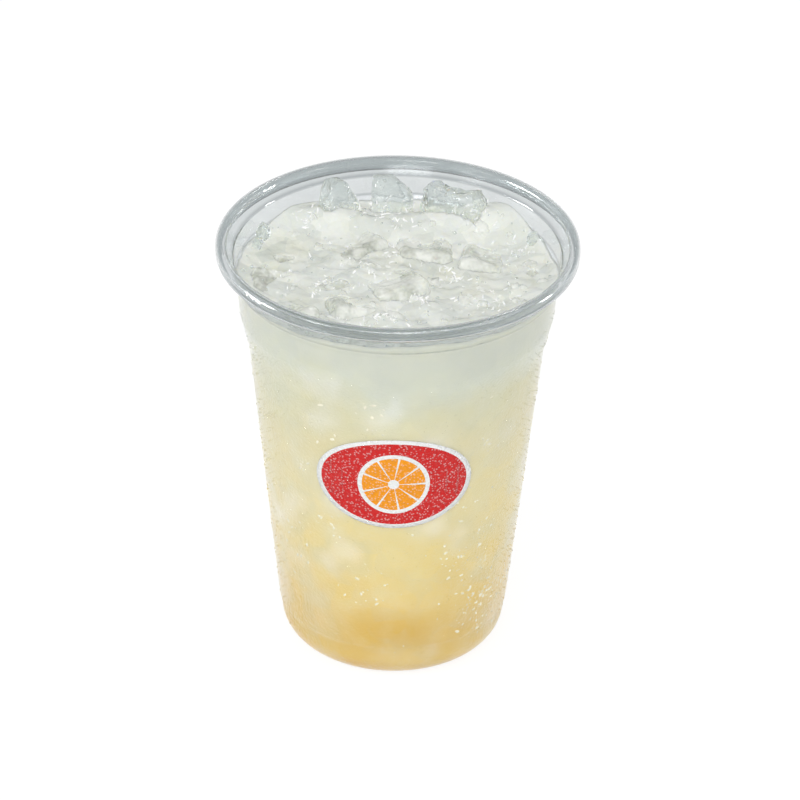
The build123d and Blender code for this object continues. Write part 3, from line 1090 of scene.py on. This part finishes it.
# %% World
world = bpy.data.worlds.new("studio")
bpy.context.scene.world = world
world.use_nodes = True
tree = world.node_tree
tree.nodes.clear()
path = add(tree, "ShaderNodeLightPath")
place = add(tree, "ShaderNodeTexCoord").outputs["Generated"]
up = add(tree, "ShaderNodeSeparateXYZ", {"Vector": place})
sideways = add(tree, "ShaderNodeMath", {0: up.outputs["X"], 1: up.outputs["X"]}, operation="MULTIPLY")
flank = add(tree, "ShaderNodeMapRange", {"Value": sideways.outputs["Value"], "To Min": 1.0, "To Max": 0.65})
overhead = add(tree, "ShaderNodeMapRange", {
    "Value": up.outputs["Z"], "From Min": 0.0, "From Max": 0.8, "To Min": 0.9, "To Max": 0.5,
})
soft = add(tree, "ShaderNodeMath", {
    0: overhead.outputs["Result"], 1: flank.outputs["Result"],
}, operation="MULTIPLY")
ceiling = add(tree, "ShaderNodeMapRange", {
    "Value": up.outputs["Z"], "From Min": 0.05, "From Max": 0.6, "To Min": 0.9, "To Max": 0.5,
})
mirrored = add(tree, "ShaderNodeMath", {
    0: path.outputs["Is Glossy Ray"], 1: path.outputs["Is Transmission Ray"],
}, operation="MAXIMUM")
lit = add(tree, "ShaderNodeBackground", {"Color": colour("#FFFFFF"), "Strength": soft.outputs["Value"]})
room = add(tree, "ShaderNodeBackground", {"Color": colour("#FFFFFF"), "Strength": ceiling.outputs["Result"]})
white = add(tree, "ShaderNodeBackground", {"Color": colour("#FFFFFF"), "Strength": 1.0})
unseen = add(tree, "ShaderNodeMixShader", {
    0: mirrored.outputs["Value"], 1: lit.outputs["Background"], 2: room.outputs["Background"],
})
pick = add(tree, "ShaderNodeMixShader", {
    0: path.outputs["Is Camera Ray"], 1: unseen.outputs["Shader"], 2: white.outputs["Background"],
})
add(tree, "ShaderNodeOutputWorld", {"Surface": pick.outputs["Shader"]})
print("world nodes:", len(tree.nodes))

# %% [markdown]
# The lamps are of two kinds. Three soft ones light the drink and the floor, and are
# hidden from reflections, so that they leave no white patches on the cup. Three others
# show only in reflections: they draw the bright lines on the rolled rim, as strip
# lights beside a product do.

# %% Lamps
CUP_MIDDLE = Vector((0, 0, 0.06))
# Name, place and size in metres, and watts.
LIGHTING = (
    ("softbox_left", (-0.75, -0.55, 0.7), (0.3, 0.3), 3.6),
    ("softbox_right", (0.8, -0.5, 0.55), (0.3, 0.3), 2.2),
    ("softbox_front", (-0.15, -1.1, 1.1), (0.6, 0.4), 5.1),
)
SHINING = (
    ("shine_left", (-1.05, 0.0, 0.25), (0.5, 0.42), 13.0),
    ("shine_right", (1.05, 0.15, 0.25), (0.14, 0.42), 4.0),
    ("shine_back", (0.22, 0.95, 1.0), (0.1, 0.1), 0.6),
)


def softbox(name, place, size, power):
    """An area lamp that faces the middle of the cup."""
    lamp = bpy.data.lights.new(name, "AREA")
    lamp.shape = "RECTANGLE"
    lamp.size, lamp.size_y = size
    lamp.energy = power
    holder = bpy.data.objects.new(name, lamp)
    holder.location = place
    holder.rotation_euler = (CUP_MIDDLE - holder.location).to_track_quat("-Z", "Y").to_euler()
    bpy.context.scene.collection.objects.link(holder)
    return holder


for lamp in LIGHTING:
    softbox(*lamp).visible_glossy = False
for lamp in SHINING:
    softbox(*lamp).visible_diffuse = False
print("lamps:", len(LIGHTING) + len(SHINING))

# %% [markdown]
# ## Camera
# A long lens from 1.6 m away, looking down by 31 degrees, turned by just under a
# degree about its own axis.

# %% Camera
AIM = Vector((1.2, 0, 72.2)) * MM
EYE = Vector((0, -1351.83, 876.62)) * MM
ROLL = math.radians(0.8925)
SENSOR_WIDTH, FOCAL_LENGTH = 36, 259.9
lens = bpy.data.cameras.new("camera")
lens.sensor_width = SENSOR_WIDTH
lens.lens = FOCAL_LENGTH
camera = bpy.data.objects.new("camera", lens)
ahead = (AIM - EYE).normalized()
right = ahead.cross(Vector((0, 0, 1))).normalized()
up = right.cross(ahead)
side = right * math.cos(ROLL) + up * math.sin(ROLL)
top = up * math.cos(ROLL) - right * math.sin(ROLL)
camera.matrix_world = Matrix((side, top, -ahead)).transposed().to_4x4()
camera.location = EYE
bpy.context.scene.collection.objects.link(camera)
bpy.context.scene.camera = camera
bpy.context.scene.view_settings.view_transform = "Standard"
print("camera at", round((AIM - EYE).length, 3), "m")
